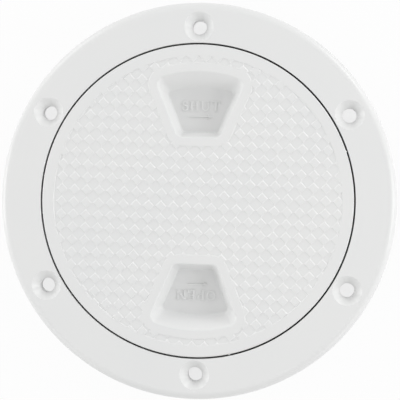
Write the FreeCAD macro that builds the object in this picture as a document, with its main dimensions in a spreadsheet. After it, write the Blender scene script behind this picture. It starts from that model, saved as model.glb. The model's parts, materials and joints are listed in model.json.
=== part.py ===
import FreeCAD, Part
import math
import os
from types import SimpleNamespace

import Sketcher

# A round screw-out deck inspection plate, moulded in white plastic, in three pieces.
# The mounting ring is screwed to the deck through six countersunk holes, its threaded collar hanging
# through the cut-out. The lid screws into the collar and is turned with two fingers in its recesses.
# The seal ring is a rubber cord ring in a groove round the lid's rim.
# Frame: the origin is on the ring's axis in the plane of the deck, +Z is up and out of the deck,
# and +Y is the side of the recess marked for closing. All sizes are millimetres and degrees.

doc = FreeCAD.newDocument("deck_inspection_plate")
sheet = doc.addObject("Spreadsheet::Sheet", "Sizes")

DRIVING_SIZES = {
    # Collar below the deck
    "collar_bore": 106.0,
    "collar_wall": 3.5,
    "collar_depth": 17.0,
    "collar_chamfer": 1.0,
    # Seat and flange above the deck
    "seat_width": 4.6,
    "seat_wall": 2.6,
    "seat_edge_chamfer": 0.25,
    "flange_width": 14.9,
    "flange_height": 7.0,
    "flange_edge_radius": 2.85,
    "flange_skin": 3.0,
    "flange_rim_wall": 2.6,
    "flange_rib": 1.8,
    # Screws through the flange
    "screw_count": 6,
    "screw_from_edge": 9.0,
    "screw_hole": 5.3,
    "screw_sink": 10.8,
    "screw_sink_angle": 90.0,
    "screw_boss_wall": 2.65,
    # Screw thread between collar and lid
    "thread_lead": 5.0,
    "thread_turns": 1.5,
    "thread_height": 1.3,
    "thread_crest": 1.3,
    "thread_flank": 27.0,
    "thread_play": 0.3,
    "ring_thread_drop": 1.2,
    "thread_root": 0.4,
    # Lid
    "rim_gap": 0.6,
    "lid_edge_radius": 0.5,
    "lip_height": 1.3,
    "bead_height": 0.9,
    "bead_reach": 1.6,
    "seat_gap": 0.15,
    "plate_thickness": 3.0,
    "skirt_wall": 2.4,
    "skirt_end": 2.0,
    "lid_clock": 0.9,
    # Seal ring
    "seal_cord": 2.5,
    "seal_bulge": 0.45,
    "seal_play": 0.1,
    # Ribs under the lid
    "hub_diameter": 26.0,
    "lid_rib": 1.6,
    "lid_rib_depth": 4.5,
    "lid_rib_count": 8,
    # Finger recesses
    "recess_length": 24.0,
    "recess_from_tread_edge": 5.85,
    "recess_half_width": 7.9,
    "recess_flare": 22.8,
    "recess_depth": 6.0,
    "recess_near_slope": 2.1,
    "recess_side_slope": 2.15,
    "recess_far_slope": 5.1,
    "recess_near_corner": 2.3,
    "recess_far_corner": 3.2,
    "recess_floor_corner": 1.6,
    "recess_foot_radius": 0.45,
    "recess_mouth_radius": 0.45,
    "recess_wall": 2.0,
    "recess_border": 3.1,
    # Diamond tread
    "tread_border": 4.05,
    "tread_pitch": 4.593,
    "tread_diamond": 4.4,
    "tread_relief": 0.4,
    "tread_flank": 30.0,
    "tread_turn": 1.1,
    "tread_shift_x": 0.71,
    "tread_shift_y": -0.31,
}

for row, (name, number) in enumerate(DRIVING_SIZES.items(), start=1):
    sheet.set("A%d" % row, name)
    sheet.set("B%d" % row, str(number))
    sheet.setAlias("B%d" % row, name)
doc.recompute()


class Size:
    """A size that knows its present number and the formula that ties it to the sheet."""

    def __init__(self, number, formula):
        self.number = number
        self.formula = formula

    def __add__(self, other):
        other = as_size(other)
        return Size(self.number + other.number, "(%s + %s)" % (self.formula, other.formula))

    def __sub__(self, other):
        other = as_size(other)
        return Size(self.number - other.number, "(%s - %s)" % (self.formula, other.formula))

    def __mul__(self, other):
        other = as_size(other)
        return Size(self.number * other.number, "(%s * %s)" % (self.formula, other.formula))

    def __truediv__(self, other):
        other = as_size(other)
        return Size(self.number / other.number, "(%s / %s)" % (self.formula, other.formula))

    def __neg__(self):
        return Size(-self.number, "(0 - %s)" % self.formula)


def as_size(value):
    return value if isinstance(value, Size) else Size(value, repr(value))


def tangent(angle):
    return Size(math.tan(math.radians(angle.number)), "tan(%s * 1 deg)" % angle.formula)


def sine(angle):
    return Size(math.sin(math.radians(angle.number)), "sin(%s * 1 deg)" % angle.formula)


def cosine(angle):
    return Size(math.cos(math.radians(angle.number)), "cos(%s * 1 deg)" % angle.formula)


sizes = SimpleNamespace(**{name: Size(float(sheet.get(name)), "Sizes." + name)
                           for name in DRIVING_SIZES})

# Levels and radii worked out from the driving sizes
bore_radius = sizes.collar_bore / 2
collar_radius = bore_radius + sizes.collar_wall
seat_radius = bore_radius + sizes.seat_width
flange_radius = seat_radius + sizes.flange_width
lid_top = sizes.flange_height
lid_radius = seat_radius - sizes.rim_gap
screw_radius = flange_radius - sizes.screw_from_edge
groove_height = sizes.seal_cord + sizes.seal_play * 2
neck_radius = lid_radius + sizes.seal_bulge - sizes.seal_cord - sizes.seal_play
bead_radius = neck_radius + sizes.bead_reach
groove_top = lid_top - sizes.lip_height
groove_floor = groove_top - groove_height
bead_floor = groove_floor - sizes.bead_height
ledge_level = bead_floor - sizes.seat_gap
skirt_radius = bore_radius - sizes.thread_height - sizes.thread_play
skirt_inside = skirt_radius - sizes.skirt_wall
plate_underside = lid_top - sizes.plate_thickness
core_inside = seat_radius + sizes.seat_wall
core_outside = flange_radius - sizes.flange_rim_wall
core_depth = sizes.flange_height - sizes.flange_skin
thread_rise = sizes.thread_lead * sizes.thread_turns
thread_base = sizes.thread_crest + sizes.thread_height * tangent(sizes.thread_flank) * 2
ring_thread_start = ledge_level - sizes.ring_thread_drop - thread_base / 2 - thread_rise
lid_thread_start = ring_thread_start - sizes.thread_lead / 2 - sizes.thread_lead * sizes.lid_clock / 360
skirt_bottom = lid_thread_start - thread_base / 2 - sizes.skirt_end
tread_radius = lid_radius - sizes.tread_border
tread_floor = lid_top - sizes.tread_relief
recess_far = tread_radius - sizes.recess_from_tread_edge
recess_near = recess_far - sizes.recess_length
recess_floor = lid_top - sizes.recess_depth
cup_top = lid_top - sizes.plate_thickness / 2
tread_flank_run = sizes.tread_relief * tangent(sizes.tread_flank)
tread_headroom = sizes.tread_relief * 1.25
tread_root = sizes.tread_relief / 4

# Rounded edges of the recess are drawn as short facets between these angles
ROUNDING_ANGLES = (0, 30, 60, 90)


def bind(item, property_name, size):
    item.setExpression(property_name, size.formula)


def origin_feature(body, role):
    return next(feature for feature in body.Origin.OriginFeatures if feature.Role == role)


def new_body(label):
    body = doc.addObject("PartDesign::Body", label)
    body.Label = label
    return body


def new_sketch(body, name, role, level=None):
    """A sketch on one of its body's own origin planes, raised to a level where one is given."""
    sketch = body.newObject("Sketcher::SketchObject", name)
    sketch.AttachmentSupport = [(origin_feature(body, role), "")]
    sketch.MapMode = "FlatFace"
    if level is not None:
        sketch.AttachmentOffset.Base.z = level.number
        bind(sketch, "AttachmentOffset.Base.z", level)
    return sketch


def pin_point(sketch, edge, end, x, y):
    """Hold one end of an edge at two sizes from the sketch's origin."""
    for kind, size in (("DistanceX", as_size(x)), ("DistanceY", as_size(y))):
        index = sketch.addConstraint(Sketcher.Constraint(kind, -1, 1, edge, end, size.number))
        sketch.setExpression("Constraints[%d]" % index, size.formula)


def draw_polygon(sketch, corners):
    """A closed outline of straight edges through corners given as pairs of sizes."""
    corners = [(as_size(x), as_size(y)) for x, y in corners]
    points = [FreeCAD.Vector(x.number, y.number, 0) for x, y in corners]
    first = sketch.GeometryCount
    count = len(points)
    for index in range(count):
        sketch.addGeometry(Part.LineSegment(points[index], points[(index + 1) % count]), False)
    for index in range(count):
        following = first + (index + 1) % count
        sketch.addConstraint(Sketcher.Constraint("Coincident", first + index, 2, following, 1))
    for index, (x, y) in enumerate(corners):
        pin_point(sketch, first + index, 1, x, y)


def draw_circle(sketch, x, y, radius):
    x, y, radius = as_size(x), as_size(y), as_size(radius)
    centre = FreeCAD.Vector(x.number, y.number, 0)
    circle = sketch.addGeometry(Part.Circle(centre, FreeCAD.Vector(0, 0, 1), radius.number), False)
    pin_point(sketch, circle, 3, x, y)
    index = sketch.addConstraint(Sketcher.Constraint("Radius", circle, radius.number))
    sketch.setExpression("Constraints[%d]" % index, radius.formula)


def revolve(body, kind, name, sketch):
    feature = body.newObject(kind, name)
    feature.Profile = sketch
    feature.ReferenceAxis = (origin_feature(body, "Z_Axis"), [""])
    feature.Angle = 360
    return feature


def pad(body, name, sketch, height, downward=False):
    feature = body.newObject("PartDesign::Pad", name)
    feature.Profile = sketch
    feature.Reversed = downward
    bind(feature, "Length", height)
    return feature


def polar_pattern(body, name, feature, count):
    pattern = body.newObject("PartDesign::PolarPattern", name)
    pattern.Originals = [feature]
    pattern.Axis = (origin_feature(body, "Z_Axis"), [""])
    pattern.Angle = 360
    bind(pattern, "Occurrences", count)
    body.Tip = pattern
    return pattern


def is_circle_at(edge, radius, level):
    curve = edge.Curve
    if not isinstance(curve, Part.Circle):
        return False
    middle = edge.CenterOfMass
    on_axis = math.hypot(curve.Center.x, curve.Center.y) < 1e-4
    return on_axis and abs(curve.Radius - radius.number) < 1e-4 and abs(middle.z - level.number) < 1e-4


def dress(body, kind, name, radius, level, size_name, size):
    """Fillet or chamfer the round edges that lie at a radius from the axis and at a level."""
    doc.recompute()
    base = body.Tip
    edges = ["Edge%d" % index for index, edge in enumerate(base.Shape.Edges, start=1)
             if is_circle_at(edge, radius, level)]
    feature = body.newObject(kind, name)
    feature.Base = (base, edges)
    bind(feature, size_name, size)
    return feature


def thread_ridge(body, name, root_radius, crest_radius, start):
    """A right-handed ridge of trapezoid section that climbs from the +X side at the start level."""
    outward = 1 if crest_radius.number > root_radius.number else -1
    buried_radius = root_radius - sizes.thread_root * outward
    half_base = thread_base / 2 + sizes.thread_root * tangent(sizes.thread_flank)
    half_crest = sizes.thread_crest / 2
    profile = new_sketch(body, name + "_profile", "XZ_Plane")
    draw_polygon(profile, [
        (buried_radius, start - half_base),
        (crest_radius, start - half_crest),
        (crest_radius, start + half_crest),
        (buried_radius, start + half_base),
    ])
    ridge = body.newObject("PartDesign::AdditiveHelix", name)
    ridge.Profile = profile
    ridge.ReferenceAxis = (origin_feature(body, "Z_Axis"), [""])
    ridge.Mode = "pitch-height-angle"
    bind(ridge, "Pitch", sizes.thread_lead)
    bind(ridge, "Height", thread_rise)
    return ridge


def make_mounting_ring():
    """The flange with its cored and ribbed underside, the seat for the lid and the threaded collar."""
    ring = new_body("mounting_ring")
    section = new_sketch(ring, "ring_section", "XZ_Plane")
    draw_polygon(section, [
        (seat_radius, sizes.flange_height),
        (flange_radius, sizes.flange_height),
        (flange_radius, 0),
        (collar_radius, 0),
        (collar_radius, -sizes.collar_depth),
        (bore_radius, -sizes.collar_depth),
        (bore_radius, ledge_level),
        (seat_radius, ledge_level),
    ])
    revolve(ring, "PartDesign::Revolution", "ring_turned", section)

    core = new_sketch(ring, "core_section", "XZ_Plane")
    draw_polygon(core, [
        (core_inside, 0),
        (core_outside, 0),
        (core_outside, core_depth),
        (core_inside, core_depth),
    ])
    revolve(ring, "PartDesign::Groove", "core", core)

    overlap = sizes.seat_wall / 4
    rib = new_sketch(ring, "flange_rib_outline", "XY_Plane")
    draw_polygon(rib, [
        (-sizes.flange_rib / 2, core_inside - overlap),
        (sizes.flange_rib / 2, core_inside - overlap),
        (sizes.flange_rib / 2, core_outside + overlap),
        (-sizes.flange_rib / 2, core_outside + overlap),
    ])
    rib_pad = pad(ring, "flange_rib", rib, core_depth)
    polar_pattern(ring, "flange_ribs", rib_pad, sizes.screw_count * 2)

    boss = new_sketch(ring, "screw_boss_outline", "XY_Plane")
    draw_circle(boss, 0, screw_radius, sizes.screw_hole / 2 + sizes.screw_boss_wall)
    boss_pad = pad(ring, "screw_boss", boss, core_depth)
    polar_pattern(ring, "screw_bosses", boss_pad, sizes.screw_count)

    place = new_sketch(ring, "screw_hole_place", "XY_Plane", sizes.flange_height)
    draw_circle(place, 0, screw_radius, sizes.screw_hole / 2)
    doc.recompute()
    hole = ring.newObject("PartDesign::Hole", "screw_hole")
    hole.Profile = place
    hole.DepthType = "ThroughAll"
    hole.HoleCutType = "Countersink"
    bind(hole, "Diameter", sizes.screw_hole)
    bind(hole, "HoleCutDiameter", sizes.screw_sink)
    bind(hole, "HoleCutCountersinkAngle", sizes.screw_sink_angle)
    polar_pattern(ring, "screw_holes", hole, sizes.screw_count)

    dress(ring, "PartDesign::Fillet", "flange_edge", flange_radius, sizes.flange_height,
          "Radius", sizes.flange_edge_radius)
    dress(ring, "PartDesign::Chamfer", "seat_edge", seat_radius, sizes.flange_height,
          "Size", sizes.seat_edge_chamfer)
    dress(ring, "PartDesign::Chamfer", "collar_end", collar_radius, -sizes.collar_depth,
          "Size", sizes.collar_chamfer)
    thread_ridge(ring, "ring_thread", bore_radius, bore_radius - sizes.thread_height, ring_thread_start)
    doc.recompute()
    return ring


def make_seal_ring():
    """A plain rubber cord ring, stretched round the neck between the lid's lip and bead."""
    seal = doc.addObject("Part::Torus", "seal_ring")
    seal.Label = "seal_ring"
    bind(seal, "Radius1", neck_radius + sizes.seal_play + sizes.seal_cord / 2)
    bind(seal, "Radius2", sizes.seal_cord / 2)
    bind(seal, "Placement.Base.z", groove_top - groove_height / 2)
    return seal


def draw_recess_outline(sketch, near_inset, side_inset, far_inset, near_corner, far_corner):
    """The recess in plan, drawn in by three insets: a straight near edge, two flaring sides, a far edge
    concentric with the lid, and a tangent arc at each corner."""
    near = recess_near + near_inset
    far = recess_far - far_inset
    half_width = (sizes.recess_half_width + near_inset * tangent(sizes.recess_flare)
                  - side_inset / cosine(sizes.recess_flare))
    corner_share = (as_size(1.0) - sine(sizes.recess_flare)) / cosine(sizes.recess_flare)
    near_end = half_width - near_corner * corner_share

    # Where the far corners' arcs lie: as far inside the side as inside the far edge
    flare = math.radians(sizes.recess_flare.number)
    along = FreeCAD.Vector(math.sin(flare), math.cos(flare), 0)
    outward = FreeCAD.Vector(math.cos(flare), -math.sin(flare), 0)
    near_centre = FreeCAD.Vector(near_end.number, near.number + near_corner.number, 0)
    foot = FreeCAD.Vector(half_width.number, near.number, 0) - outward * far_corner.number
    lean = foot.dot(along)
    reach = math.sqrt(lean ** 2 - foot.dot(foot) + (far.number - far_corner.number) ** 2)
    far_centre = foot + along * (reach - lean)
    turn = math.atan2(far_centre.y, far_centre.x)
    up = FreeCAD.Vector(0, 0, 1)

    def arc(centre, radius, start, end):
        return sketch.addGeometry(Part.ArcOfCircle(Part.Circle(centre, up, radius), start, end), False)

    def line(start, end):
        return sketch.addGeometry(Part.LineSegment(start, end), False)

    def flipped(point):
        return FreeCAD.Vector(-point.x, point.y, 0)

    side_start = near_centre + outward * near_corner.number
    side_end = far_centre + outward * far_corner.number
    near_edge = line(FreeCAD.Vector(-near_end.number, near.number, 0),
                     FreeCAD.Vector(near_end.number, near.number, 0))
    right_near = arc(near_centre, near_corner.number, -math.pi / 2, -flare)
    right_side = line(side_start, side_end)
    right_far = arc(far_centre, far_corner.number, -flare, turn)
    far_edge = arc(FreeCAD.Vector(0, 0, 0), far.number, turn, math.pi - turn)
    left_far = arc(flipped(far_centre), far_corner.number, math.pi - turn, math.pi + flare)
    left_side = line(flipped(side_end), flipped(side_start))
    left_near = arc(flipped(near_centre), near_corner.number, math.pi + flare, math.pi * 1.5)
    loop = [near_edge, right_near, right_side, right_far, far_edge, left_far, left_side, left_near]
    for edge, following in zip(loop, loop[1:] + loop[:1]):
        sketch.addConstraint(Sketcher.Constraint("Tangent", edge, 2, following, 1))
    sketch.addConstraint(Sketcher.Constraint("Coincident", far_edge, 3, -1, 1))
    pin_point(sketch, near_edge, 1, -near_end, near)
    pin_point(sketch, near_edge, 2, near_end, near)
    for edge, radius in ((far_edge, far), (right_near, near_corner), (left_near, near_corner),
                         (right_far, far_corner), (left_far, far_corner)):
        index = sketch.addConstraint(Sketcher.Constraint("Radius", edge, radius.number))
        sketch.setExpression("Constraints[%d]" % index, radius.formula)
    index = sketch.addConstraint(Sketcher.Constraint("Angle", right_side, math.pi / 2 - flare))
    sketch.setExpression("Constraints[%d]" % index, "(90 - %s) * 1 deg" % sizes.recess_flare.formula)
    sketch.addConstraint(Sketcher.Constraint("Equal", right_side, left_side))


def recess_block(label, sections):
    """A solid through outlines of the recess, each given as a level, three insets and two corners."""
    body = new_body(label)
    sketches = []
    for number, (level, insets, corners) in enumerate(sections):
        sketch = new_sketch(body, "%s_outline_%d" % (label, number), "XY_Plane", level)
        draw_recess_outline(sketch, *insets, *corners)
        sketches.append(sketch)
    walls = body.newObject("PartDesign::AdditiveLoft", label + "_walls")
    walls.Profile = sketches[0]
    walls.Sections = sketches[1:]
    walls.Ruled = True
    return body


def make_recess_hollow():
    """The hollow of one finger recess: sloping walls, a rounded foot and a rounded mouth."""

    def section(height, inset):
        """The outline at a height over the floor, drawn in from the straight wall by an inset."""
        share = height / sizes.recess_depth
        rest = as_size(1.0) - share
        slopes = (sizes.recess_near_slope, sizes.recess_side_slope, sizes.recess_far_slope)
        insets = [slope * rest + inset for slope in slopes]
        corners = [sizes.recess_floor_corner * rest + corner * share - inset
                   for corner in (sizes.recess_near_corner, sizes.recess_far_corner)]
        return (recess_floor + height, insets, corners)

    foot, mouth = sizes.recess_foot_radius, sizes.recess_mouth_radius
    steps = [math.radians(angle) for angle in ROUNDING_ANGLES]
    rise = [section(foot * (1 - math.cos(turn)), foot * (1 - math.sin(turn))) for turn in steps]
    flare = [section(sizes.recess_depth - mouth * (1 - math.cos(turn)), -mouth * (1 - math.sin(turn)))
             for turn in reversed(steps)]
    return recess_block("recess_hollow", rise + flare)


def make_recess_cup():
    """The moulded cup under one finger recess, a wall thicker than the hollow all round."""
    wall = sizes.recess_wall
    slopes = (sizes.recess_near_slope, sizes.recess_side_slope, sizes.recess_far_slope)
    floor_corner = sizes.recess_floor_corner + wall
    corners = (sizes.recess_near_corner + wall, sizes.recess_far_corner + wall)
    return recess_block("recess_cup", [
        (recess_floor - wall, [slope - wall for slope in slopes], (floor_corner, floor_corner)),
        (cup_top, (-wall,) * 3, corners),
    ])


def make_recess_border():
    """The smooth raised border round one recess, which parts it from the tread."""

    def section(level, width):
        corners = (sizes.recess_near_corner + width, sizes.recess_far_corner + width)
        return (level, (-width,) * 3, corners)

    headroom_run = tread_headroom * tangent(sizes.tread_flank)
    return recess_block("recess_border_block", [
        section(tread_floor, sizes.recess_border + tread_flank_run),
        section(lid_top + tread_headroom, sizes.recess_border - headroom_run),
    ])


def mirror_across(item, label):
    """The same shape on the other side of the lid, across the plane that holds the X axis."""
    mirror = doc.addObject("Part::Mirroring", label)
    mirror.Label = label
    mirror.Source = item
    mirror.Normal = (0, 1, 0)
    return mirror


def join(label, shapes):
    fuse = doc.addObject("Part::MultiFuse", label)
    fuse.Label = label
    fuse.Shapes = shapes
    return fuse


def cut(label, base, tool):
    result = doc.addObject("Part::Cut", label)
    result.Label = label
    result.Base = base
    result.Tool = tool
    return result


def make_lid_blank():
    """The lid before its recesses and tread: a plate with a grooved rim, ribs and a threaded skirt."""
    blank = new_body("lid_blank")
    section = new_sketch(blank, "lid_section", "XZ_Plane")
    draw_polygon(section, [
        (0, lid_top),
        (lid_radius, lid_top),
        (lid_radius, groove_top),
        (neck_radius, groove_top),
        (neck_radius, groove_floor),
        (bead_radius, groove_floor),
        (bead_radius, bead_floor),
        (skirt_radius, bead_floor),
        (skirt_radius, skirt_bottom),
        (skirt_inside, skirt_bottom),
        (skirt_inside, plate_underside),
        (0, plate_underside),
    ])
    revolve(blank, "PartDesign::Revolution", "lid_turned", section)

    hub = new_sketch(blank, "hub_outline", "XY_Plane", plate_underside)
    draw_circle(hub, 0, 0, sizes.hub_diameter / 2)
    draw_circle(hub, 0, 0, sizes.hub_diameter / 2 - sizes.lid_rib)
    pad(blank, "hub", hub, sizes.lid_rib_depth, downward=True)

    overlap = sizes.lid_rib / 2
    rib = new_sketch(blank, "lid_rib_outline", "XY_Plane", plate_underside)
    draw_polygon(rib, [
        (sizes.hub_diameter / 2 - overlap, -sizes.lid_rib / 2),
        (skirt_inside + overlap, -sizes.lid_rib / 2),
        (skirt_inside + overlap, sizes.lid_rib / 2),
        (sizes.hub_diameter / 2 - overlap, sizes.lid_rib / 2),
    ])
    rib_pad = pad(blank, "lid_rib", rib, sizes.lid_rib_depth, downward=True)
    polar_pattern(blank, "lid_ribs", rib_pad, sizes.lid_rib_count)

    dress(blank, "PartDesign::Fillet", "lid_edge", lid_radius, lid_top, "Radius", sizes.lid_edge_radius)
    thread_ridge(blank, "lid_thread", skirt_radius, skirt_radius + sizes.thread_height, lid_thread_start)
    return blank


def diamond_lattice():
    """Raised diamonds with sloping flanks on a square lattice, turned a little against the recesses.

    Each block starts inside the tread's floor and ends over the lid's top, for clean cuts."""
    lean = math.tan(math.radians(sizes.tread_flank.number))
    height = (tread_root + sizes.tread_relief + tread_headroom).number
    half = sizes.tread_diamond.number / math.sqrt(2) / 2 + tread_root.number * lean
    top = half - height * lean
    block = Part.makeWedge(-half, 0, -half, -top, -top, half, height, half, top, top)
    block.rotate(FreeCAD.Vector(0, 0, 0), FreeCAD.Vector(1, 0, 0), 90)
    block.rotate(FreeCAD.Vector(0, 0, 0), FreeCAD.Vector(0, 0, 1), 45)
    pitch = sizes.tread_pitch.number
    level = (tread_floor - tread_root).number
    reach = tread_radius.number + sizes.tread_diamond.number / 2
    shift_x, shift_y = sizes.tread_shift_x.number, sizes.tread_shift_y.number
    rows = math.ceil(reach / pitch)
    places = [FreeCAD.Vector(column * pitch + shift_x, (row + 0.5) * pitch + shift_y, level)
              for row in range(-rows, rows) for column in range(-rows, rows + 1)]
    lattice = Part.makeCompound([block.translated(place) for place in places
                                 if math.hypot(place.x, place.y) < reach])
    lattice.rotate(FreeCAD.Vector(0, 0, 0), FreeCAD.Vector(0, 0, 1), -sizes.tread_turn.number)
    return lattice


def make_lid():
    """The lid: the blank with two moulded cups, their hollows and the sunk floor of the tread."""
    blank = make_lid_blank()
    cup = make_recess_cup()
    cupped = join("lid_with_cups", [blank, cup, mirror_across(cup, "opposite_cup")])
    hollow = make_recess_hollow()
    hollows = join("recess_hollows", [hollow, mirror_across(hollow, "opposite_hollow")])
    recessed = cut("lid_with_recesses", cupped, hollows)

    disc = doc.addObject("Part::Cone", "tread_disc")
    bind(disc, "Radius1", tread_radius - tread_flank_run)
    bind(disc, "Radius2", tread_radius + tread_headroom * tangent(sizes.tread_flank))
    bind(disc, "Height", sizes.tread_relief + tread_headroom)
    bind(disc, "Placement.Base.z", tread_floor)
    border = make_recess_border()
    borders = join("recess_borders", [border, mirror_across(border, "opposite_border")])
    field = cut("tread_field", disc, borders)
    doc.recompute()

    lid = doc.addObject("Part::Feature", "lid")
    lid.Label = "lid"
    lid.Shape = recessed.Shape.cut(field.Shape.cut(diamond_lattice()))
    lid.Placement = FreeCAD.Placement(FreeCAD.Vector(0, 0, 0),
                                      FreeCAD.Rotation(FreeCAD.Vector(0, 0, 1), -sizes.lid_clock.number))
    return lid


sub_parts = [make_mounting_ring(), make_seal_ring(), make_lid()]
doc.recompute()
failed = [item.Label for item in doc.Objects if "Invalid" in item.State or "Error" in item.State]
if failed:
    raise RuntimeError("these objects failed: " + ", ".join(failed))
for part in sub_parts:
    if part.Shape.isNull() or not part.Shape.isValid():
        raise RuntimeError(part.Label + " has no valid shape")

os.makedirs("parts", exist_ok=True)
for part in sub_parts:
    part.Shape.exportStep("parts/%s.step" % part.Label)
    print(part.Label, len(part.Shape.Solids), "solid,", round(part.Shape.Volume, 1), "cubic millimetres")
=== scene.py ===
import json
import math

import bmesh
import bpy
from mathutils import Matrix, Vector


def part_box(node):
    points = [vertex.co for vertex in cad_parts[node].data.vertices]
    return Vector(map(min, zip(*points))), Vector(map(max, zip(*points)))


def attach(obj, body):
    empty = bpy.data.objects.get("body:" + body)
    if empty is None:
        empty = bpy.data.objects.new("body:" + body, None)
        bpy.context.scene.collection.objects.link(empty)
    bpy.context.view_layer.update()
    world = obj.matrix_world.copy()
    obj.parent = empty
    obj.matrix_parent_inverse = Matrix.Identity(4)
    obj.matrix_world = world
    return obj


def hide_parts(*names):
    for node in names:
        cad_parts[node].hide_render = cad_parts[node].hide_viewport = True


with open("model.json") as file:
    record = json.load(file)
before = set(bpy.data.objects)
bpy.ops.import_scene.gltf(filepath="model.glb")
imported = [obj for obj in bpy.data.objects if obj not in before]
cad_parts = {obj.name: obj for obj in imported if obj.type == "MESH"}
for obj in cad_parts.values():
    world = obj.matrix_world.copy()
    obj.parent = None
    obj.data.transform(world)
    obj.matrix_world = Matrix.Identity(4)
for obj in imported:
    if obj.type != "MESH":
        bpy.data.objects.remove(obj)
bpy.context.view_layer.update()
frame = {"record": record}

# Mounting ring. One injection moulding in white ASA: a flange that lies on the deck, a seat for the
# lid and a threaded collar that hangs through the cut-out. Its underside is cored and ribbed, and
# countersunk screws through moulded bosses hold it down.
mm = 0.001
mount_dims = {mount["name"]: mount["dims"] for mount in frame["record"]["mounts"]}
ring_low, ring_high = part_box("mounting_ring")
flange_radius = ring_high.x
flange_top = ring_high.z
collar_end = ring_low.z
collar_radius = mount_dims["collar"]["r_mm"] * mm
screw_circle_radius = mount_dims["screw_holes"]["pcd_mm"] * mm / 2
screw_hole = mount_dims["screw_holes"]["hole_r_mm"] * mm
screw_count = mount_dims["screw_holes"]["count"]
lid_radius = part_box("lid")[1].x
lid_gap = 0.6 * mm
seat_radius = lid_radius + lid_gap
seat_floor = 1.95 * mm
seat_wall = 2.6 * mm
collar_wall = 3.5 * mm
collar_rounding = 0.8 * mm
bore_radius = collar_radius - collar_wall
flange_rounding = 2.85 * mm
flange_rim = 2.6 * mm
core_depth = 4 * mm
flange_rib = 1.8 * mm
screw_sink = 5.4 * mm
screw_boss = 5.3 * mm
screw_sides = 64
sink_depth = screw_sink - screw_hole
sink_over = 0.5 * mm
buried = 0.5 * mm
core_inside = seat_radius + seat_wall
core_outside = flange_radius - flange_rim
rib_height = core_depth + buried
edge_softness = 0.2 * mm
crease = math.radians(32)
turned_sides = 256
arc_step = math.radians(9)
thread_lead = 5 * mm
thread_turns = 1.5
thread_steps = 128
thread_height = 1.3 * mm
thread_crest = 1.3 * mm
thread_root = 0.4 * mm
thread_flank = math.radians(27)
thread_foot = thread_crest + 2 * thread_height * math.tan(thread_flank)
thread_drop = 1.2 * mm
ring_thread_start = seat_floor - thread_drop - thread_foot / 2 - thread_lead * thread_turns


def rounded(corners):
    """A closed outline through corners, each given as x, y and the radius that it is rounded to."""
    points = []
    for index, (x, y, radius) in enumerate(corners):
        corner = Vector((x, y))
        if radius == 0:
            points.append(corner)
            continue
        before = (Vector(corners[index - 1][:2]) - corner).normalized()
        after = (Vector(corners[(index + 1) % len(corners)][:2]) - corner).normalized()
        half = before.angle(after) / 2
        centre = corner + (before + after).normalized() * (radius / math.sin(half))
        start = corner + before * (radius / math.tan(half)) - centre
        end = corner + after * (radius / math.tan(half)) - centre
        turn = math.atan2(start.cross(end), start.dot(end))
        steps = max(2, math.ceil(abs(turn) / arc_step))
        points += [centre + Matrix.Rotation(turn * step / steps, 2) @ start for step in range(steps + 1)]
    return points


def closed_mesh(name, rings, capped):
    """A mesh through closed rings of points, with faces between them and, if capped, over both ends."""
    shell = bmesh.new()
    loops = [[shell.verts.new(point) for point in ring] for ring in rings]
    bands = list(zip(loops, loops[1:])) if capped else list(zip(loops, loops[1:] + loops[:1]))
    for lower, upper in bands:
        for index in range(len(lower)):
            shell.faces.new((lower[index - 1], lower[index], upper[index], upper[index - 1]))
    if capped:
        shell.faces.new(loops[0])
        shell.faces.new(loops[-1])
    bmesh.ops.recalc_face_normals(shell, faces=shell.faces)
    mesh = bpy.data.meshes.new(name)
    shell.to_mesh(mesh)
    shell.free()
    return mesh


def turned(name, outline, sides, capped=False):
    """The outline, as pairs of radius and level, turned round the Z axis."""
    angles = [math.tau * side / sides for side in range(sides)]
    rings = [[(radius * math.cos(angle), radius * math.sin(angle), level) for angle in angles]
             for radius, level in outline]
    return closed_mesh(name, rings, capped)


def new_piece(name, mesh):
    """An object that shows the mesh, at the origin."""
    piece = bpy.data.objects.new(name, mesh)
    bpy.context.scene.collection.objects.link(piece)
    return piece


def add_node(tree, kind, settings=(), inputs=()):
    """One node of a tree: its settings by name, and its inputs as values, sockets or lists of sockets."""
    node = tree.nodes.new(kind)
    for name, value in dict(settings).items():
        setattr(node, name, value)
    for name, value in dict(inputs).items():
        for source in value if isinstance(value, list) else [value]:
            if isinstance(source, bpy.types.NodeSocket):
                tree.links.new(source, node.inputs[name])
            else:
                node.inputs[name].default_value = source
    return node


def new_tree(name, numbers):
    """A tree that takes a mesh, a material and named numbers, and the sockets that give them."""
    tree = bpy.data.node_groups.new(name, "GeometryNodeTree")
    tree.interface.new_socket("Mesh", in_out="INPUT", socket_type="NodeSocketGeometry")
    tree.interface.new_socket("Plastic", in_out="INPUT", socket_type="NodeSocketMaterial")
    for number, value in numbers.items():
        kind = "NodeSocketInt" if isinstance(value, int) else "NodeSocketFloat"
        tree.interface.new_socket(number, in_out="INPUT", socket_type=kind)
    tree.interface.new_socket("Mesh", in_out="OUTPUT", socket_type="NodeSocketGeometry")
    return tree, add_node(tree, "NodeGroupInput").outputs


def finish_tree(tree, geometry, plastic):
    """Ends a tree: whatever it made becomes real faces with one material."""
    real = add_node(tree, "GeometryNodeRealizeInstances", inputs={"Geometry": geometry})
    painted = add_node(tree, "GeometryNodeSetMaterial",
                       inputs={"Geometry": real.outputs[0], "Material": plastic})
    add_node(tree, "NodeGroupOutput", inputs={"Mesh": painted.outputs[0]})


def run_tree(piece, tree, plastic, numbers):
    """Puts the tree's result in the piece as a plain mesh in one plastic."""
    piece.data.materials.append(plastic)
    modifier = piece.modifiers.new(tree.name, "NODES")
    modifier.node_group = tree
    for item in tree.interface.items_tree:
        if item.in_out == "INPUT" and item.name in numbers:
            modifier[item.identifier] = numbers[item.name]
        if item.in_out == "INPUT" and item.name == "Plastic":
            modifier[item.identifier] = plastic
    settle(piece)


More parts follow.
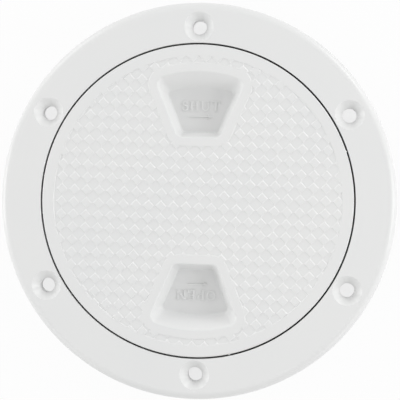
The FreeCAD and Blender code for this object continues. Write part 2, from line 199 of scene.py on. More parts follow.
def settle(piece):
    """Turns what the piece's modifiers make of it into its own mesh, and drops them."""
    evaluated = piece.evaluated_get(bpy.context.evaluated_depsgraph_get())
    piece.data = bpy.data.meshes.new_from_object(evaluated)
    piece.modifiers.clear()


def round_axis(tree, geometry, count):
    """Copies of a geometry, evenly turned round the Z axis. The first stays where it is."""
    points = add_node(tree, "GeometryNodePoints", inputs={"Count": count})
    turn = add_node(tree, "ShaderNodeMath", {"operation": "DIVIDE"}, {0: math.tau, 1: count})
    index = add_node(tree, "GeometryNodeInputIndex")
    angle = add_node(tree, "ShaderNodeMath", {"operation": "MULTIPLY"},
                     {0: index.outputs[0], 1: turn.outputs[0]})
    rotation = add_node(tree, "ShaderNodeCombineXYZ", inputs={"Z": angle.outputs[0]})
    copies = add_node(tree, "GeometryNodeInstanceOnPoints", inputs={
        "Points": points.outputs[0], "Instance": geometry, "Rotation": rotation.outputs[0]})
    real = add_node(tree, "GeometryNodeRealizeInstances", inputs={"Geometry": copies.outputs[0]})
    return real.outputs[0]


def bar(tree, size, middle):
    """A straight bar, given the sockets or numbers of its size and its middle."""
    extent = add_node(tree, "ShaderNodeCombineXYZ", inputs=dict(enumerate(size)))
    place = add_node(tree, "ShaderNodeCombineXYZ", inputs=dict(enumerate(middle)))
    cube = add_node(tree, "GeometryNodeMeshCube", inputs={"Size": extent.outputs[0]})
    moved = add_node(tree, "GeometryNodeTransform",
                     inputs={"Geometry": cube.outputs[0], "Translation": place.outputs[0]})
    return moved.outputs[0]


def helical_ridge(tree, root, crest, start):
    """A right-handed thread ridge of trapezoid section, from +X at the start level."""
    spiral = add_node(tree, "GeometryNodeCurveSpiral", inputs={
        "Resolution": thread_steps, "Rotations": thread_turns, "Start Radius": root, "End Radius": root,
        "Height": thread_lead * thread_turns, "Reverse": True})
    upright = add_node(tree, "GeometryNodeSetCurveNormal", {"mode": "Z_UP"}, {"Curve": spiral.outputs[0]})
    outward = 1 if crest > root else -1
    foot = thread_crest / 2 + (abs(crest - root) + thread_root) * math.tan(thread_flank)
    corners = [(-thread_root * outward, -foot, 0), (crest - root, -thread_crest / 2, 0),
               (crest - root, thread_crest / 2, 0), (-thread_root * outward, foot, 0)]
    section = add_node(tree, "GeometryNodeCurvePrimitiveQuadrilateral", {"mode": "POINTS"},
                       {"Point %d" % number: corner for number, corner in enumerate(corners, start=1)})
    ridge = add_node(tree, "GeometryNodeCurveToMesh", inputs={
        "Curve": upright.outputs[0], "Profile Curve": section.outputs[0], "Fill Caps": True})
    raised = add_node(tree, "GeometryNodeTransform",
                      inputs={"Geometry": ridge.outputs[0], "Translation": (0, 0, start)})
    return raised.outputs[0]


def linear(colour):
    """The linear red, green, blue and alpha of an sRGB hex colour."""
    channels = [int(colour[place:place + 2], 16) / 255 for place in (1, 3, 5)]
    return tuple(c / 12.92 if c <= 0.04045 else ((c + 0.055) / 1.055) ** 2.4 for c in channels) + (1.0,)


def new_material(name):
    """An empty material, its tree and its shader."""
    material = bpy.data.materials.new(name)
    material.use_nodes = True
    return material, material.node_tree, material.node_tree.nodes["Principled BSDF"]


# ASA, injection moulded in a polished mould with fine spark erosion: an even white with a soft gloss.
# The grain is really about 0.05 mm, and is drawn three times as coarse so that it shows at all.
grain_size = 0.15 * mm
flow_size = 30 * mm
white_asa, asa_tree, asa = new_material("moulded_white_asa")
asa.inputs["IOR"].default_value = 1.49
asa_place = add_node(asa_tree, "ShaderNodeTexCoord").outputs["Object"]
asa_grain = add_node(asa_tree, "ShaderNodeTexNoise", inputs={
    "Vector": asa_place, "Scale": 1 / grain_size, "Detail": 2.0})
asa_flow = add_node(asa_tree, "ShaderNodeTexNoise", inputs={
    "Vector": asa_place, "Scale": 1 / flow_size, "Detail": 3.0, "Roughness": 0.4})
asa_colour = add_node(asa_tree, "ShaderNodeMix", {"data_type": "RGBA"}, {
    "Factor": asa_flow.outputs["Fac"], "A": linear("#E2E3E3"), "B": linear("#E6E6E5")})
asa_gloss = add_node(asa_tree, "ShaderNodeMapRange", inputs={
    "Value": asa_flow.outputs["Fac"], "To Min": 0.28, "To Max": 0.36})
asa_bump = add_node(asa_tree, "ShaderNodeBump", inputs={
    "Height": asa_grain.outputs["Fac"], "Strength": 0.12, "Distance": 0.01 * mm})
asa_tree.links.new(asa_colour.outputs["Result"], asa.inputs["Base Color"])
asa_tree.links.new(asa_gloss.outputs["Result"], asa.inputs["Roughness"])
asa_tree.links.new(asa_bump.outputs["Normal"], asa.inputs["Normal"])

ring_numbers = {
    "Screw Count": screw_count,
    "Screw Circle Radius": screw_circle_radius,
    "Hole Radius": screw_hole,
    "Hole Length": 2 * flange_top,
    "Sink Foot Radius": screw_hole - sink_over,
    "Sink Mouth Radius": screw_sink + sink_over,
    "Sink Height": sink_depth + 2 * sink_over,
    "Boss Radius": screw_boss,
    "Rib Thickness": flange_rib,
    "Rib Length": core_outside - core_inside + 2 * buried,
    "Rib Height": rib_height,
}
ring_tree, ring_inputs = new_tree("ring_moulding", ring_numbers)
rib = bar(ring_tree,
          (ring_inputs["Rib Thickness"], ring_inputs["Rib Length"], ring_inputs["Rib Height"]),
          (0, (core_inside + core_outside) / 2, rib_height / 2))
rib_count = add_node(ring_tree, "ShaderNodeMath", {"operation": "MULTIPLY"},
                     {0: ring_inputs["Screw Count"], 1: 2})
ribs = round_axis(ring_tree, rib, rib_count.outputs[0])
screw_place = add_node(ring_tree, "ShaderNodeCombineXYZ",
                       inputs={"Y": ring_inputs["Screw Circle Radius"]})


def at_screw(geometry, level):
    """A geometry moved out to the first screw's place and up to a level."""
    place = add_node(ring_tree, "ShaderNodeVectorMath", {"operation": "ADD"},
                     {0: screw_place.outputs[0], 1: (0, 0, level)})
    moved = add_node(ring_tree, "GeometryNodeTransform",
                     inputs={"Geometry": geometry, "Translation": place.outputs[0]})
    return moved.outputs[0]


boss = add_node(ring_tree, "GeometryNodeMeshCylinder", inputs={
    "Vertices": screw_sides, "Radius": ring_inputs["Boss Radius"], "Depth": ring_inputs["Rib Height"]})
bosses = round_axis(ring_tree, at_screw(boss.outputs["Mesh"], rib_height / 2),
                    ring_inputs["Screw Count"])
shank = add_node(ring_tree, "GeometryNodeMeshCylinder", inputs={
    "Vertices": screw_sides, "Radius": ring_inputs["Hole Radius"], "Depth": ring_inputs["Hole Length"]})
shanks = round_axis(ring_tree, at_screw(shank.outputs["Mesh"], flange_top / 2),
                    ring_inputs["Screw Count"])
sink = add_node(ring_tree, "GeometryNodeMeshCone", inputs={
    "Vertices": screw_sides, "Radius Bottom": ring_inputs["Sink Foot Radius"],
    "Radius Top": ring_inputs["Sink Mouth Radius"], "Depth": ring_inputs["Sink Height"]})
sinks = round_axis(ring_tree, at_screw(sink.outputs["Mesh"], flange_top - sink_depth - sink_over),
                   ring_inputs["Screw Count"])
thread = helical_ridge(ring_tree, bore_radius, bore_radius - thread_height, ring_thread_start)
solid_ring = add_node(ring_tree, "GeometryNodeMeshBoolean", {"operation": "UNION", "solver": "MANIFOLD"},
                      {"Mesh 2": [ring_inputs["Mesh"], ribs, bosses, thread]})
drilled_ring = add_node(ring_tree, "GeometryNodeMeshBoolean",
                        {"operation": "DIFFERENCE", "solver": "MANIFOLD"},
                        {"Mesh 1": solid_ring.outputs["Mesh"], "Mesh 2": [shanks, sinks]})
finish_tree(ring_tree, drilled_ring.outputs["Mesh"], ring_inputs["Plastic"])


def soften(piece):
    """Smooth shading up to a crease, where large flat faces keep their own normals."""
    piece.data.shade_smooth()
    piece.data.set_sharp_from_angle(angle=crease)
    weighted = piece.modifiers.new("flat_faces_first", "WEIGHTED_NORMAL")
    weighted.keep_sharp = True
    settle(piece)


ring = new_piece("ring_moulding", turned("ring_moulding", rounded([
    (seat_radius, flange_top, edge_softness),
    (flange_radius, flange_top, flange_rounding),
    (flange_radius, 0, edge_softness),
    (core_outside, 0, 0),
    (core_outside, core_depth, 0),
    (core_inside, core_depth, 0),
    (core_inside, 0, 0),
    (collar_radius, 0, 0),
    (collar_radius, collar_end, collar_rounding),
    (bore_radius, collar_end, edge_softness),
    (bore_radius, seat_floor, edge_softness),
    (seat_radius, seat_floor, edge_softness),
]), turned_sides))
run_tree(ring, ring_tree, white_asa, ring_numbers)
soften(ring)
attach(ring, "mounting_ring")
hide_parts("mounting_ring")

# Seal ring. A plain cord ring in black nitrile rubber, moulded to size and stretched into the groove
# under the lid's lip. It shows only as a thin dark line in the gap round the lid.
seal_low, seal_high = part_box("seal_ring")
seal_cord = seal_high.z - seal_low.z
seal_level = (seal_high.z + seal_low.z) / 2
seal_radius = seal_high.x - seal_cord / 2
black_rubber, rubber_tree, rubber = new_material("moulded_black_nitrile")
rubber.inputs["Base Color"].default_value = linear("#1B1B1C")
bloom_size = 2 * mm
rubber_place = add_node(rubber_tree, "ShaderNodeTexCoord").outputs["Object"]
rubber_bloom = add_node(rubber_tree, "ShaderNodeTexNoise", inputs={
    "Vector": rubber_place, "Scale": 1 / bloom_size, "Detail": 4.0})
rubber_gloss = add_node(rubber_tree, "ShaderNodeMapRange", inputs={
    "Value": rubber_bloom.outputs["Fac"], "To Min": 0.45, "To Max": 0.65})
rubber_bump = add_node(rubber_tree, "ShaderNodeBump", inputs={
    "Height": rubber_bloom.outputs["Fac"], "Strength": 0.2, "Distance": 0.02 * mm})
rubber_tree.links.new(rubber_gloss.outputs["Result"], rubber.inputs["Roughness"])
rubber_tree.links.new(rubber_bump.outputs["Normal"], rubber.inputs["Normal"])
cord_sides = 32
seal = new_piece("seal_cord", turned("seal_cord", [
    (seal_radius + seal_cord / 2 * math.cos(math.tau * side / cord_sides),
     seal_level + seal_cord / 2 * math.sin(math.tau * side / cord_sides)) for side in range(cord_sides)
], turned_sides))
seal.data.materials.append(black_rubber)
seal.data.shade_smooth()
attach(seal, "seal_ring")
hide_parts("seal_ring")

# Lid. One moulding in the same white ASA: a plate with a thin lip over the seal's groove, a hub and
# ribs below, two moulded cups for the fingers and a threaded skirt. It screws into the collar.
lid_low, lid_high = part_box("lid")
lid_top = lid_high.z
skirt_bottom = lid_low.z
lid_clock = math.radians(0.9)
lip_height = 1.3 * mm
bead_height = 0.9 * mm
bead_width = 1.6 * mm
groove_play = 0.2 * mm
seal_gap = 0.1 * mm
thread_play = 0.3 * mm
skirt_wall = 2.4 * mm
plate_thickness = 3 * mm
groove_top = lid_top - lip_height
groove_floor = groove_top - seal_cord - groove_play
bead_floor = groove_floor - bead_height
neck_radius = seal_radius - seal_cord / 2 - seal_gap
bead_radius = neck_radius + bead_width
skirt_radius = bore_radius - thread_height - thread_play
skirt_inside = skirt_radius - skirt_wall
plate_underside = lid_top - plate_thickness
lid_edge_rounding = 0.5 * mm
lid_thread_start = ring_thread_start - thread_lead / 2 - thread_lead * lid_clock / math.tau
lid_rib_count = 8
lid_rib_thickness = 1.6 * mm
lid_rib_depth = 4.5 * mm
lid_rib_level = plate_underside - (lid_rib_depth - buried) / 2
hub_radius = 13 * mm
hub_sides = 96
lid_rib_length = skirt_inside - hub_radius + 2 * buried
lid_numbers = {
    "Rib Count": lid_rib_count,
    "Rib Thickness": lid_rib_thickness,
    "Rib Length": lid_rib_length,
    "Rib Height": lid_rib_depth + buried,
    "Hub Radius": hub_radius,
    "Hub Bore Radius": hub_radius - lid_rib_thickness,
    "Hub Bore Length": 2 * lid_rib_depth,
}
lid_tree, lid_inputs = new_tree("lid_moulding", lid_numbers)
lid_rib = bar(lid_tree,
              (lid_inputs["Rib Length"], lid_inputs["Rib Thickness"], lid_inputs["Rib Height"]),
              (hub_radius - buried + lid_rib_length / 2, 0, lid_rib_level))
lid_ribs = round_axis(lid_tree, lid_rib, lid_inputs["Rib Count"])
hub = add_node(lid_tree, "GeometryNodeMeshCylinder", inputs={
    "Vertices": hub_sides, "Radius": lid_inputs["Hub Radius"], "Depth": lid_inputs["Rib Height"]})
hub_bore = add_node(lid_tree, "GeometryNodeMeshCylinder", inputs={
    "Vertices": hub_sides, "Radius": lid_inputs["Hub Bore Radius"],
    "Depth": lid_inputs["Hub Bore Length"]})
hub_ring = add_node(lid_tree, "GeometryNodeMeshBoolean",
                    {"operation": "DIFFERENCE", "solver": "MANIFOLD"},
                    {"Mesh 1": hub.outputs["Mesh"], "Mesh 2": hub_bore.outputs["Mesh"]})
hub_place = add_node(lid_tree, "GeometryNodeTransform", inputs={
    "Geometry": hub_ring.outputs["Mesh"], "Translation": (0, 0, lid_rib_level)})
lid_thread = helical_ridge(lid_tree, skirt_radius, skirt_radius + thread_height, lid_thread_start)
whole_lid = add_node(lid_tree, "GeometryNodeMeshBoolean", {"operation": "UNION", "solver": "MANIFOLD"},
                     {"Mesh 2": [lid_inputs["Mesh"], lid_ribs, hub_place.outputs[0], lid_thread]})
finish_tree(lid_tree, whole_lid.outputs["Mesh"], lid_inputs["Plastic"])
lid_outline = rounded([
    (0, lid_top, 0),
    (lid_radius, lid_top, lid_edge_rounding),
    (lid_radius, groove_top, edge_softness),
    (neck_radius, groove_top, 0),
    (neck_radius, groove_floor, 0),
    (bead_radius, groove_floor, edge_softness),
    (bead_radius, bead_floor, edge_softness),
    (skirt_radius, bead_floor, 0),
    (skirt_radius, skirt_bottom, edge_softness),
    (skirt_inside, skirt_bottom, edge_softness),
    (skirt_inside, plate_underside, 0),
    (0, plate_underside, 0),
])
lid = new_piece("lid_moulding", turned("lid_moulding", lid_outline[1:-1], turned_sides, capped=True))
run_tree(lid, lid_tree, white_asa, lid_numbers)

# Finger recesses of the lid. Each is a moulded cup with sloping walls, a straight near edge, flaring
# sides and a far edge concentric with the lid, inside a smooth raised border. Its slopes are given
# for the near edge, the sides and the far edge, and its corners for near and far.
recess_rim = 9.9 * mm
recess_length = 24 * mm
recess_far = lid_radius - recess_rim
recess_near = recess_far - recess_length
recess_half_width = 7.9 * mm
recess_flare = math.radians(22.8)
recess_depth = 6 * mm
recess_slopes = (2.1 * mm, 2.15 * mm, 5.1 * mm)
recess_corners = (2.9 * mm, 3.2 * mm)
recess_floor_corner = 1.6 * mm
recess_foot = 0.45 * mm
recess_mouth = 0.4 * mm
recess_wall = 2 * mm
recess_border = 3.1 * mm
recess_floor = lid_top - recess_depth
corner_steps = 8
far_steps = 32


def recess_outline(level, insets, corners):
    """The recess in plan at a level: drawn in by insets at its near edge, sides and far edge."""
    near_inset, side_inset, far_inset = insets
    near_corner, far_corner = corners
    near = recess_near + near_inset
    far = recess_far - far_inset
    half_width = (recess_half_width + near_inset * math.tan(recess_flare)
                  - side_inset / math.cos(recess_flare))
    along = Vector((math.sin(recess_flare), math.cos(recess_flare)))
    outward = Vector((math.cos(recess_flare), -math.sin(recess_flare)))
    near_end = half_width - near_corner * (1 - math.sin(recess_flare)) / math.cos(recess_flare)
    near_centre = Vector((near_end, near + near_corner))
    foot = Vector((half_width, near)) - outward * far_corner
    lean = foot.dot(along)
    far_centre = foot + along * (math.sqrt(lean ** 2 - foot.dot(foot) + (far - far_corner) ** 2) - lean)
    turn = math.atan2(far_centre.y, far_centre.x)
    right = []
    for centre, radius, start, end in ((near_centre, near_corner, -math.pi / 2, -recess_flare),
                                       (far_centre, far_corner, -recess_flare, turn)):
        for step in range(corner_steps + 1):
            angle = start + (end - start) * step / corner_steps
            right.append(centre + radius * Vector((math.cos(angle), math.sin(angle))))
    arc = [turn + (math.pi - 2 * turn) * step / far_steps for step in range(1, far_steps)]
    far_edge = [far * Vector((math.cos(angle), math.sin(angle))) for angle in arc]
    left = [Vector((-point.x, point.y)) for point in reversed(right)]
    return [(point.x, point.y, level) for point in right + far_edge + left]


def hollow_section(height, inset):
    """The hollow's outline at a height over its floor, moved in from the straight wall by an inset."""
    share = height / recess_depth
    insets = [slope * (1 - share) + inset for slope in recess_slopes]
    corners = [recess_floor_corner * (1 - share) + corner * share - inset for corner in recess_corners]
    return recess_outline(recess_floor + height, insets, corners)


def grown_section(level, width):
    """The outline of the recess's mouth, moved out all round by a width."""
    return recess_outline(level, (-width,) * 3, [corner + width for corner in recess_corners])


def combine(piece, tool_mesh, operation):
    """Joins a tool to the piece or cuts it away. Faces that come from the tool are ASA like the rest."""
    tool_mesh.materials.clear()
    tool_mesh.materials.append(white_asa)
    tool = new_piece("tool", tool_mesh)
    step = piece.modifiers.new("step", "BOOLEAN")
    step.solver = "MANIFOLD"
    step.operation = operation
    step.object = tool
    settle(piece)
    bpy.data.objects.remove(tool)


def both_sides(name, sections):
    """The same closed block through its sections on both sides of the lid's middle."""
    pair = bmesh.new()
    block = closed_mesh(name, sections, capped=True)
    pair.from_mesh(block)
    block.transform(Matrix.Rotation(math.pi, 4, "Z"))
    pair.from_mesh(block)
    mesh = bpy.data.meshes.new(name)
    pair.to_mesh(mesh)
    pair.free()
    return mesh


cup_top = lid_top - plate_thickness / 2
combine(lid, both_sides("cups", [
    recess_outline(recess_floor - recess_wall, [slope - recess_wall for slope in recess_slopes],
                   [recess_floor_corner + recess_wall] * 2),
    grown_section(cup_top, recess_wall),
]), "UNION")

# Tread of the lid. The floor between the diamonds is sunk by 0.3 mm, inside a plain rim and round
# each recess's border, and the diamonds stand on it in a square lattice, as cut in the mould.
tread_rim = 4.05 * mm
tread_radius = lid_radius - tread_rim
tread_relief = 0.3 * mm
tread_floor = lid_top - tread_relief
tread_flank = math.tan(math.radians(52))
tread_softness = 0.1 * mm
tread_pitch = 4.593 * mm
tread_diamond = 4.4 * mm
tread_turn = math.radians(1.1)
tread_shift = (0.71 * mm, -0.31 * mm)
cutter_over = 0.5 * mm
shoulder = lid_top - tread_softness
field = new_piece("field", turned("field", [
    (tread_radius - tread_relief * tread_flank, tread_floor),
    (tread_radius - tread_softness * tread_flank, shoulder),
    (tread_radius + tread_softness, lid_top),
    (tread_radius + tread_softness, lid_top + cutter_over),
], turned_sides, capped=True))
combine(field, both_sides("borders", [
    grown_section(tread_floor - cutter_over, recess_border + (tread_relief + cutter_over) * tread_flank),
    grown_section(shoulder, recess_border + tread_softness * tread_flank),
    grown_section(lid_top, recess_border - tread_softness),
    grown_section(lid_top + 2 * cutter_over, recess_border - tread_softness),
]), "DIFFERENCE")
combine(lid, field.data, "DIFFERENCE")
bpy.data.objects.remove(field)

tread_numbers = {
    "Pitch": tread_pitch,
    "Columns": 2 * math.ceil(tread_radius / tread_pitch) + 1,
    "Rows": 2 * math.ceil(tread_radius / tread_pitch),
    "Reach": tread_radius + tread_diamond / 2,
    "Shift Right": tread_shift[0],
    "Shift Up": tread_shift[1],
    "Turn": -tread_turn,
}
tread_tree, tread_inputs = new_tree("tread_lattice", tread_numbers)


def span(count):
    """The length of a row of points at the tread's pitch."""
    gaps = add_node(tread_tree, "ShaderNodeMath", {"operation": "SUBTRACT"}, {0: count, 1: 1})
    length = add_node(tread_tree, "ShaderNodeMath", {"operation": "MULTIPLY"},
                      {0: gaps.outputs[0], 1: tread_inputs["Pitch"]})
    return length.outputs[0]


lattice = add_node(tread_tree, "GeometryNodeMeshGrid", inputs={
    "Size X": span(tread_inputs["Columns"]), "Size Y": span(tread_inputs["Rows"]),
    "Vertices X": tread_inputs["Columns"], "Vertices Y": tread_inputs["Rows"]})
shift = add_node(tread_tree, "ShaderNodeCombineXYZ", inputs={
    "X": tread_inputs["Shift Right"], "Y": tread_inputs["Shift Up"]})
places = add_node(tread_tree, "GeometryNodeTransform", inputs={
    "Geometry": lattice.outputs["Mesh"], "Translation": shift.outputs[0]})
from_middle = add_node(tread_tree, "ShaderNodeVectorMath", {"operation": "LENGTH"},
                       {0: add_node(tread_tree, "GeometryNodeInputPosition").outputs[0]})
inside = add_node(tread_tree, "FunctionNodeCompare", {"data_type": "FLOAT", "operation": "LESS_THAN"},
                  {"A": from_middle.outputs["Value"], "B": tread_inputs["Reach"]})
diamonds = add_node(tread_tree, "GeometryNodeInstanceOnPoints", inputs={
    "Points": places.outputs[0], "Selection": inside.outputs[0], "Instance": tread_inputs["Mesh"]})
tread_rotation = add_node(tread_tree, "ShaderNodeCombineXYZ", inputs={"Z": tread_inputs["Turn"]})
turned_lattice = add_node(tread_tree, "GeometryNodeTransform", inputs={
    "Geometry": diamonds.outputs[0], "Rotation": tread_rotation.outputs[0]})
finish_tree(tread_tree, turned_lattice.outputs[0], tread_inputs["Plastic"])


def diamond_corner(level, softened=0):
    """The diamond's corner at a level, as half the section's diagonal and the level."""
    return (tread_diamond / 2 - ((level - tread_floor) * tread_flank + softened) * math.sqrt(2), level)


diamond_drop = 0.01 * mm
diamond_foot = 0.1 * mm
diamond_softness = 0.07 * mm
diamond_top = lid_top - diamond_drop
tread = new_piece("tread", turned("tread", [
    diamond_corner(tread_floor - diamond_foot),
    diamond_corner(diamond_top - tread_softness),
    diamond_corner(diamond_top, diamond_softness),
], 4, capped=True))
run_tree(tread, tread_tree, white_asa, tread_numbers)
combine(lid, tread.data, "UNION")
bpy.data.objects.remove(tread)

quarter = [math.radians(angle) for angle in range(0, 91, 15)]
foot_rise = [hollow_section(recess_foot * (1 - math.cos(turn)), recess_foot * (1 - math.sin(turn)))
             for turn in quarter]
mouth_flare = [hollow_section(recess_depth - recess_mouth * (1 - math.cos(turn)),
                              -recess_mouth * (1 - math.sin(turn))) for turn in reversed(quarter)]
mouth_over = [(x, y, lid_top + cutter_over) for x, y, _ in mouth_flare[-1]]
combine(lid, both_sides("hollows", foot_rise + mouth_flare + [mouth_over]), "DIFFERENCE")

# Words of the lid. A plain function word and an arrow stand raised on each recess's floor, to say which
# way the lid turns. They are moulded with it, in upright capitals with thick stems and thin bars.
cap_height = 3.8 * mm
letter_gap = 0.12
stem_width = 0.19
bar_width = 0.1
bowl_width = 0.13
spur_width = 0.08
serif_reach = 0.17
bow_step = 20
relief = 0.4 * mm
crown = 0.1 * mm
crown_shoulder = 0.03 * mm
arrow_head = 1.6 * mm
arrow_width = 0.4 * mm
words = {
    "SHUT": {"turn": 0, "place": (0.1 * mm, 34.9 * mm),
             "arrow": (-0.2 * mm, 31 * mm), "length": 8.6 * mm},
    "OPEN": {"turn": math.pi, "place": (-0.3 * mm, 34.7 * mm),
             "arrow": (-0.6 * mm, 30.7 * mm), "length": -7.4 * mm},
}


def bow(middle, across, up, start, end):
    """Points of an ellipse's arc between two angles in degrees."""
    steps = max(4, round(abs(end - start) / bow_step))
    angles = [math.radians(start + (end - start) * step / steps) for step in range(steps + 1)]
    return [(middle[0] + across * math.cos(angle), middle[1] + up * math.sin(angle)) for angle in angles]


def serif(x, y):
    """The short bar across the end of a stem."""
    return [(x - serif_reach, y), (x + serif_reach, y)], bar_width


# Each letter has its advance and its strokes, each as points and a width, in shares of the cap height.
head = 1 - bar_width / 2
foot_line = bar_width / 2
letters = {
    "S": (0.62, [
        (bow((0.3, 0.72), 0.2, 0.2, 25, 270), 0.15),
        (bow((0.3, 0.28), 0.23, 0.23, 90, -155), 0.15),
        ([(0.5, 0.7), (0.5, 0.97)], spur_width),
        ([(0.09, 0.03), (0.09, 0.3)], spur_width),
    ]),
    "H": (0.95, [
        ([(0.2, 0), (0.2, 1)], stem_width), ([(0.75, 0), (0.75, 1)], stem_width),
        ([(0.2, 0.52), (0.75, 0.52)], bar_width),
        serif(0.2, head), serif(0.75, head), serif(0.2, foot_line), serif(0.75, foot_line),
    ]),
    "U": (0.93, [
        ([(0.2, 1)] + bow((0.465, 0.32), 0.265, 0.25, 180, 360) + [(0.73, 1)], 0.14),
        ([(0.2, 1), (0.2, 0.3)], stem_width), serif(0.2, head), serif(0.73, head),
    ]),
    "T": (0.86, [
        ([(0.43, 0), (0.43, 1)], stem_width), ([(0.02, head), (0.84, head)], bar_width),
        ([(0.06, head), (0.06, 0.74)], bar_width), ([(0.8, head), (0.8, 0.74)], bar_width),
        serif(0.43, foot_line),
    ]),
    "O": (0.93, [
        (bow((0.465, 0.5), 0.36, 0.42, 80, 280), 0.16), (bow((0.465, 0.5), 0.36, 0.42, -100, 100), 0.16),
    ]),
    "P": (0.79, [
        ([(0.2, 0), (0.2, 1)], stem_width), serif(0.2, foot_line),
        ([(0.03, head)] + bow((0.42, 0.7), 0.26, 0.25, 90, -90) + [(0.2, 0.45)], bowl_width),
    ]),
    "E": (0.82, [
        ([(0.2, 0), (0.2, 1)], stem_width), ([(0.03, head), (0.74, head)], bar_width),
        ([(0.03, foot_line), (0.76, foot_line)], bar_width), ([(0.2, 0.52), (0.58, 0.52)], bar_width),
        ([(0.71, head), (0.71, 0.76)], bar_width), ([(0.73, foot_line), (0.73, 0.26)], bar_width),
        ([(0.58, 0.42), (0.58, 0.62)], spur_width),
    ]),
    "N": (0.95, [
        ([(0.17, 0), (0.17, 1)], bar_width), ([(0.79, 0), (0.79, 1)], bar_width),
        ([(0.13, 0.97), (0.83, 0.03)], stem_width), serif(0.15, head), serif(0.79, head),
        serif(0.17, foot_line),
    ]),
}


def ribbon(points, width, origin, scale=1):
    """A raised stroke of even width along points, scaled and set from an origin, with a rounded crown."""
    path = [Vector((origin[0] + x * scale, origin[1] + y * scale)) for x, y in points]
    aside = []
    for index, point in enumerate(path):
        way_in = (point - path[max(index - 1, 0)]).normalized()
        way_out = (path[min(index + 1, len(path) - 1)] - point).normalized()
        along = (way_in + way_out).normalized()
        aside.append(Vector((-along.y, along.x)))
    rings = []
    for height, inset in ((-relief, 0), (relief - crown, 0), (relief - crown_shoulder, crown_shoulder),
                          (relief, crown)):
        half = width / 2 - inset
        left = [point + normal * half for point, normal in zip(path, aside)]
        right = [point - normal * half for point, normal in zip(path, aside)]
        rings.append([(x, y, recess_floor + height) for x, y in left + right[::-1]])
    return closed_mesh("stroke", rings, capped=True)


def add_word(word, turn, place, arrow, length):
    """A word at its place over an arrow, which points the other way if its length is below zero."""
    width = sum(letters[letter][0] for letter in word) + letter_gap * (len(word) - 1)
    strokes = []
    start = -width / 2
    for letter in word:
        advance, lines = letters[letter]
        origin = (place[0] + start * cap_height, place[1] - cap_height / 2)
        strokes += [ribbon(points, line * cap_height, origin, cap_height) for points, line in lines]
        start += advance + letter_gap
    tip = length / 2
    barb = tip - math.copysign(arrow_head, length)
    for points in ([(-tip, 0), (tip, 0)], [(barb, arrow_head / 2), (tip, 0)],
                   [(barb, -arrow_head / 2), (tip, 0)]):
        strokes.append(ribbon(points, arrow_width, arrow))
    lettering = new_piece("lettering", strokes[0])
    for stroke in strokes[1:]:
        combine(lettering, stroke, "UNION")
    lettering.data.transform(Matrix.Rotation(turn, 4, "Z"))
    combine(lid, lettering.data, "UNION")
    bpy.data.objects.remove(lettering)


for word, layout in words.items():
    add_word(word, **layout)
lid.data.transform(Matrix.Rotation(-lid_clock, 4, "Z"))
soften(lid)
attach(lid, "lid")
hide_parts("lid")

# Floor: the plain pale surface that the plate rests on. For the camera and in reflections it glows
# most of the way to white. Under the plate it glows less, which is painted shade, and it keeps the rest
# for the real soft shadow.
floor_half = 1.5
floor_gap = 0.02 * mm
# The glow's share under the plate is set lower: painted shade under the plate.
glow_under_plate_painted_shade = 0.66
white_beyond_plate = 0.95
fade_start = flange_radius - 1 * mm
fade_end = flange_radius + 3 * mm
floor_white, floor_tree, floor_shader = new_material("floor_white")
floor_shader.inputs["Base Color"].default_value = linear("#DCDCDC")
floor_shader.inputs["Roughness"].default_value = 0.9
floor_glow = add_node(floor_tree, "ShaderNodeEmission", inputs={"Color": (1, 1, 1, 1), "Strength": 1.0})
floor_ray = add_node(floor_tree, "ShaderNodeLightPath")
seen = add_node(floor_tree, "ShaderNodeMath", {"operation": "MAXIMUM"}, {
    0: floor_ray.outputs["Is Camera Ray"], 1: floor_ray.outputs["Is Glossy Ray"]})
floor_place = add_node(floor_tree, "ShaderNodeTexCoord").outputs["Object"]
from_plate = add_node(floor_tree, "ShaderNodeVectorMath", {"operation": "LENGTH"}, {0: floor_place})
# Painted shade: the glow fades down under the plate, so the floor seen through the screw holes looks
# darker.
glow_share_painted_shade = add_node(floor_tree, "ShaderNodeMapRange", {"interpolation_type": "SMOOTHSTEP"}, {
    "Value": from_plate.outputs["Value"], "From Min": fade_start, "From Max": fade_end,
    "To Min": glow_under_plate_painted_shade, "To Max": white_beyond_plate})
seen_share = add_node(floor_tree, "ShaderNodeMath", {"operation": "MULTIPLY"}, {
    0: seen.outputs[0], 1: glow_share_painted_shade.outputs["Result"]})
floor_mix = add_node(floor_tree, "ShaderNodeMixShader", inputs={
    0: seen_share.outputs[0], 1: floor_shader.outputs[0], 2: floor_glow.outputs[0]})
floor_tree.links.new(floor_mix.outputs[0], floor_tree.nodes["Material Output"].inputs["Surface"])
floor_corners = [(-floor_half, -floor_half), (floor_half, -floor_half),
                 (floor_half, floor_half), (-floor_half, floor_half)]
floor = new_piece("floor", bpy.data.meshes.new("floor"))
floor.data.from_pydata([(x, y, collar_end - floor_gap) for x, y in floor_corners], [], [(0, 1, 2, 3)])
floor.data.materials.append(floor_white)

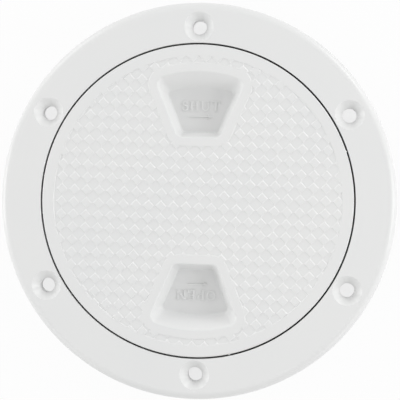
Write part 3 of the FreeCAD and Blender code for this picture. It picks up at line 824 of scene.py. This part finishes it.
# Light: soft round lamps round the object, each given by its azimuth and height in degrees and its
# power in watts. The two at the back are low, so that the diamonds' upper flanks catch them. The pale
# room looks white to the camera but gives less light than that.
lamp_distance = 0.9
lamp_size = 0.35
room_light = 0.71
lamps = {
    "right": (0, 25, 1.9),
    "back_right": (45, 18, 1.5),
    "back_left": (135, 18, 1.4),
    "left": (180, 12, 1.9),
    "front_left": (225, 22, 0.5),
    "front_right": (315, 22, 0.6),
}
for name, (azimuth, height, power) in lamps.items():
    lamp = bpy.data.lights.new(name, "AREA")
    lamp.shape = "DISK"
    lamp.size = lamp_size
    lamp.energy = power
    holder = bpy.data.objects.new(name, lamp)
    bpy.context.scene.collection.objects.link(holder)
    lean = Matrix.Rotation(math.radians(90 - height), 4, "Y")
    turn = Matrix.Rotation(math.radians(azimuth), 4, "Z")
    holder.matrix_world = turn @ lean @ Matrix.Translation((0, 0, lamp_distance))

world = bpy.data.worlds.new("pale_room")
bpy.context.scene.world = world
world.use_nodes = True
room_tree = world.node_tree
room = room_tree.nodes["Background"]
room.inputs["Color"].default_value = linear("#FFFFFF")
room_ray = add_node(room_tree, "ShaderNodeLightPath")
room_seen = add_node(room_tree, "ShaderNodeMath", {"operation": "MAXIMUM"}, {
    0: room_ray.outputs["Is Camera Ray"], 1: room_ray.outputs["Is Transmission Ray"]})
room_strength = add_node(room_tree, "ShaderNodeMapRange", inputs={
    "Value": room_seen.outputs[0], "To Min": room_light, "To Max": 1.0})
room_tree.links.new(room_strength.outputs["Result"], room.inputs["Strength"])

# Camera: nearly straight above, a little to the right, as in the photograph. It stands back by half a
# metre with a long lens, which gives the photograph's slight perspective in the screw holes.
camera_lens = 122.8
camera_sensor = 36
camera_distance = 500 * mm
camera_lean = math.radians(4.7)
camera_roll = math.radians(0.8)
camera_aim = Vector((0.93, 0.32, 3.5)) * mm
scene = bpy.context.scene
camera = bpy.data.objects.new("camera", bpy.data.cameras.new("camera"))
scene.collection.objects.link(camera)
scene.camera = camera
camera.data.sensor_width = camera_sensor
camera.data.lens = camera_lens
turn = Matrix.Rotation(camera_lean, 4, "Y") @ Matrix.Rotation(camera_roll, 4, "Z")
camera.matrix_world = Matrix.Translation(camera_aim) @ turn @ Matrix.Translation((0, 0, camera_distance))
scene.view_settings.view_transform = "Standard"
